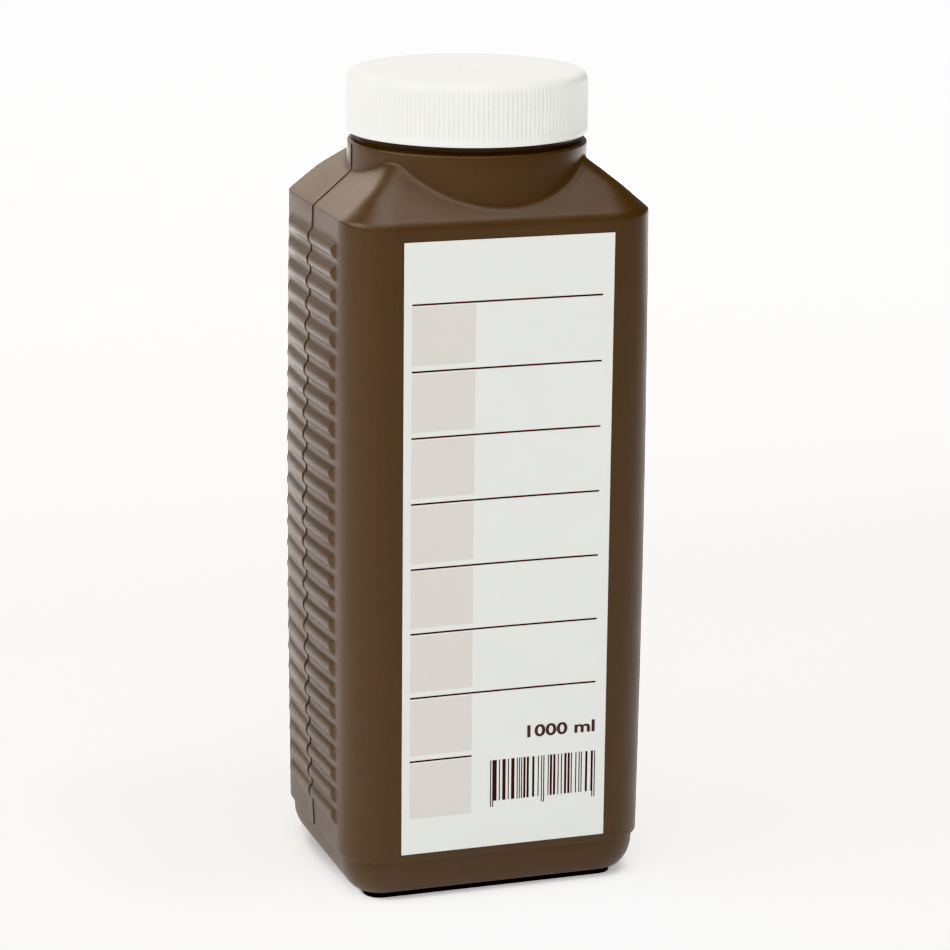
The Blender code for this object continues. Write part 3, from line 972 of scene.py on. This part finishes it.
def ruled_print(tree, x, z):
    """Masks of the label's ruled lines and of the tinted fields under them."""
    down = calculate(tree, "DIVIDE", calculate(tree, "SUBTRACT", FIRST_LINE_Z, z), LINE_PITCH)
    line = calculate(tree, "ROUND", down)
    from_line = calculate(tree, "ABSOLUTE", calculate(tree, "SUBTRACT", down, line))
    thin = calculate(tree, "LESS_THAN", from_line, LINE_THICKNESS / 2 / LINE_PITCH)
    counted = between(tree, line, -0.5, LINE_COUNT - 0.5)
    full = calculate(tree, "LESS_THAN", line, LINE_COUNT - 1.5)
    right = calculate(tree, "MULTIPLY_ADD", full, PRINT_RIGHT - COLUMN_RIGHT, COLUMN_RIGHT)
    across = between(tree, x, PRINT_LEFT, right)
    ruled = calculate(tree, "MULTIPLY", calculate(tree, "MULTIPLY", thin, counted), across)
    share = calculate(tree, "FRACT", down)
    field = between(tree, share, BOX_TOP_GAP / LINE_PITCH, 1.0 - BOX_BOTTOM_GAP / LINE_PITCH)
    rows = between(tree, down, 0.0, float(LINE_COUNT))
    column = between(tree, x, PRINT_LEFT, COLUMN_RIGHT)
    tinted = calculate(tree, "MULTIPLY", calculate(tree, "MULTIPLY", field, rows), column)
    return ruled, tinted


def bar_print(tree, x, z):
    """Mask of a made-up row of upright bars with longer guard bars."""
    module = (BARS_RIGHT - BARS_LEFT) / BAR_MODULES
    place = calculate(tree, "DIVIDE", calculate(tree, "SUBTRACT", x, BARS_LEFT), module)
    index = calculate(tree, "FLOOR", place)
    squared = calculate(tree, "MULTIPLY", index, index)
    uneven = calculate(tree, "FRACT", calculate(tree, "MULTIPLY", squared, 0.312))
    dark = calculate(tree, "GREATER_THAN", uneven, 0.52)
    centred = calculate(tree, "ABSOLUTE", calculate(tree, "SUBTRACT", index, BAR_MODULES // 2))
    middle_guard = calculate(tree, "LESS_THAN", centred, 2.5)
    end_guard = calculate(tree, "GREATER_THAN", centred, BAR_MODULES // 2 - 2.5)
    guard = calculate(tree, "MAXIMUM", middle_guard, end_guard)
    odd = calculate(tree, "MODULO", centred, 2.0)
    even = calculate(tree, "SUBTRACT", 1.0, odd)
    middle_bar = calculate(tree, "MULTIPLY", middle_guard, odd)
    end_bar = calculate(tree, "MULTIPLY", end_guard, odd if BAR_MODULES // 2 % 2 else even)
    guard_bar = calculate(tree, "MAXIMUM", middle_bar, end_bar)
    plain = calculate(tree, "MULTIPLY", dark, calculate(tree, "SUBTRACT", 1.0, guard))
    plain_bar = calculate(tree, "MULTIPLY", plain, between(tree, z, BARS_BOTTOM_Z, BARS_TOP_Z))
    long_bar = calculate(tree, "MULTIPLY", guard_bar, between(tree, z, GUARD_BOTTOM_Z, BARS_TOP_Z))
    bars = calculate(tree, "MAXIMUM", plain_bar, long_bar)
    return calculate(tree, "MULTIPLY", bars, between(tree, place, 0.0, float(BAR_MODULES)))


def label_paper(grain_group):
    """Off-white paper with the ruled lines, the tinted fields and the bars."""
    material, tree, shader = new_material("printed_label_paper")
    grain, mottle = use_grain(tree, grain_group, 900.0, 40.0)
    paper = mix_colour(tree, mottle, colour(0.57, 0.58, 0.56), colour(0.61, 0.62, 0.595))
    x, _, z = object_axes(tree)
    ruled, tinted = ruled_print(tree, x, z)
    with_fields = mix_colour(tree, tinted, paper, colour(0.53, 0.51, 0.475))
    with_lines = mix_colour(tree, ruled, with_fields, colour(0.040, 0.003, 0.002))
    with_bars = mix_colour(tree, bar_print(tree, x, z), with_lines, colour(0.030, 0.003, 0.002))
    feed(tree, shader.inputs["Base Color"], with_bars)
    vary_roughness(tree, shader, mottle, 0.42, 0.50)
    bump(tree, shader, grain, 0.015 * MM)
    shader.inputs["Specular IOR Level"].default_value = 0.2
    return material


def print_ink(grain_group):
    material, tree, shader = new_material("print_ink")
    grain, mottle = use_grain(tree, grain_group, 900.0, 300.0)
    ink = mix_colour(tree, mottle, colour(0.028, 0.002, 0.001), colour(0.040, 0.003, 0.002))
    feed(tree, shader.inputs["Base Color"], ink)
    vary_roughness(tree, shader, mottle, 0.42, 0.52)
    bump(tree, shader, grain, 0.01 * MM)
    return material


# The floor, the light and the camera


def from_foot(tree, x, y, shift):
    """How far a place on the floor lies outside the foot, or outside the same shape
    shifted towards the back left."""
    beyond = []
    for value, half, move in ((x, FOOT_HALF_WIDTH, -shift), (y, FOOT_HALF_DEPTH, shift)):
        centred = calculate(tree, "ABSOLUTE", calculate(tree, "SUBTRACT", value, move))
        beyond.append(calculate(tree, "SUBTRACT", centred, half - FOOT_CORNER))
    outside = [calculate(tree, "MAXIMUM", value, 0.0) for value in beyond]
    squares = [calculate(tree, "MULTIPLY", value, value) for value in outside]
    distance = calculate(tree, "SQRT", calculate(tree, "ADD", *squares))
    return calculate(tree, "SUBTRACT", distance, FOOT_CORNER)


def outside_painted_shadow(tree, x, y):
    """Share of the floor's glow left by a painted soft shadow: 1 in the open, falling to 0 on the floor
    close to the bottle's back left.
    """
    return soft_step(tree, from_foot(tree, x, y, SHADOW_SHIFT), 0.0, SHADOW_REACH)


def build_floor():
    """A pale floor with a glow of its own, brightest behind the bottle and at the horizon,
    weakened by a painted soft shadow beside the bottle's back left, and painted black
    without glow as a contact shadow where the foot covers the floor."""
    material, tree, shader = new_material("pale_floor")
    shader.inputs["Roughness"].default_value = 0.8
    x, y, _ = object_axes(tree)
    behind = soft_step(tree, y, *SWEEP_BEHIND)
    right = soft_step(tree, x, *SWEEP_RIGHT)
    squares = [calculate(tree, "MULTIPLY", value, value) for value in (x, y)]
    far = calculate(tree, "SQRT", calculate(tree, "ADD", *squares))
    horizon = soft_step(tree, far, *HORIZON)
    sweep = calculate(tree, "MAXIMUM", calculate(tree, "MULTIPLY", behind, right), horizon)
    # The near glow is weakened by the painted soft shadow beside the bottle's back left
    near_glow_painted_shadow = calculate(tree, "MULTIPLY", outside_painted_shadow(tree, x, y), FLOOR_LIGHT)
    open_glow = calculate(tree, "MULTIPLY_ADD", sweep, SWEEP_LIGHT, near_glow_painted_shadow)
    # Painted contact shadow: under the foot the floor is painted near-black and its glow is taken away
    painted_foot_shadow = soft_step(tree, from_foot(tree, x, y, 0.0), *PAINTED_FOOT_SHADOW_EDGE)
    glow = calculate(tree, "MULTIPLY", open_glow, calculate(tree, "SUBTRACT", 1.0, painted_foot_shadow))
    pale = mix_colour(tree, painted_foot_shadow, colour(0.93, 0.93, 0.93), colour(0.02, 0.02, 0.02))
    feed(tree, shader.inputs["Base Color"], pale)
    shader.inputs["Specular IOR Level"].default_value = 0.0
    feed(tree, shader.inputs["Emission Color"], colour(1.0, 1.0, 1.0))
    feed(tree, shader.inputs["Emission Strength"], glow)
    start_clean()
    bpy.ops.mesh.primitive_plane_add(size=FLOOR_SIZE, location=(0.0, 0.0, -FLOOR_DROP))
    floor = bpy.context.object
    floor.name = "floor"
    floor.data.materials.append(material)


def light_surroundings():
    """A dim room with a bright backdrop low behind the bottle, seen as plain white."""
    world = bpy.data.worlds.new("studio_room")
    bpy.context.scene.world = world
    world.use_nodes = True
    tree = world.node_tree
    coordinates = add_node(tree, "ShaderNodeTexCoord")
    axes = add_node(tree, "ShaderNodeSeparateXYZ")
    feed(tree, axes.inputs[0], coordinates.outputs["Generated"])
    behind = soft_step(tree, axes.outputs["Y"], *BACKDROP_BEHIND)
    low = soft_step(tree, axes.outputs["Z"], *BACKDROP_LOW)
    backdrop = calculate(tree, "MULTIPLY", behind, low)
    room = calculate(tree, "MULTIPLY_ADD", backdrop, BACKDROP_LIGHT, ROOM_LIGHT)
    seen = add_node(tree, "ShaderNodeLightPath").outputs["Is Camera Ray"]
    strength = calculate(tree, "MAXIMUM", room, calculate(tree, "MULTIPLY", seen, SEEN_WHITE))
    feed(tree, tree.nodes["Background"].inputs["Color"], colour(1.0, 1.0, 1.0))
    feed(tree, tree.nodes["Background"].inputs["Strength"], strength)


def looking_from(azimuth, elevation):
    """Unit vector from the bottle towards a viewpoint; azimuth 0 is in front, 90 at +X."""
    across = math.radians(azimuth)
    up = math.radians(elevation)
    return Vector(
        (math.sin(across) * math.cos(up), -math.cos(across) * math.cos(up), math.sin(up))
    )


def add_softbox(name, azimuth, elevation, width, height, brightness, tint):
    """A soft light turned to the bottle."""
    data = bpy.data.lights.new(name, "AREA")
    data.color = tint
    data.shape = "RECTANGLE"
    data.size = width
    data.size_y = height
    data.energy = brightness * math.pi * width * height
    light = bpy.data.objects.new(name, data)
    bpy.context.scene.collection.objects.link(light)
    away = looking_from(azimuth, elevation)
    light.location = SOFTBOX_AIM + away * SOFTBOX_DISTANCE
    light.rotation_euler = away.to_track_quat("Z", "Y").to_euler()


def light_studio():
    light_surroundings()
    for softbox in SOFTBOXES:
        add_softbox(*softbox)
    bpy.context.scene.view_settings.view_transform = "Khronos PBR Neutral"


def add_camera():
    """Stands where its angles put it, at its distance from the point it is aimed at."""
    data = bpy.data.cameras.new("camera")
    data.lens = CAMERA_LENS
    data.sensor_width = 36.0
    camera = bpy.data.objects.new("camera", data)
    bpy.context.scene.collection.objects.link(camera)
    back = looking_from(CAMERA_AZIMUTH, CAMERA_ELEVATION)
    turn = math.radians(CAMERA_AZIMUTH)
    right = Vector((math.cos(turn), math.sin(turn), 0.0))
    facing = Matrix((right, back.cross(right), back)).transposed()
    roll = Matrix.Rotation(math.radians(CAMERA_ROLL), 3, back)
    place = Matrix.Translation(CAMERA_AIM + back * CAMERA_DISTANCE)
    camera.matrix_world = place @ (roll @ facing).to_4x4()
    bpy.context.scene.camera = camera


# Everything together

grain_group = surface_grain_group()
build_bottle(brown_plastic(grain_group))
build_cap(white_plastic(grain_group))
build_liner(liner_foam(grain_group))
build_label(label_paper(grain_group))
build_volume_print(print_ink(grain_group))
build_floor()
light_studio()
add_camera()
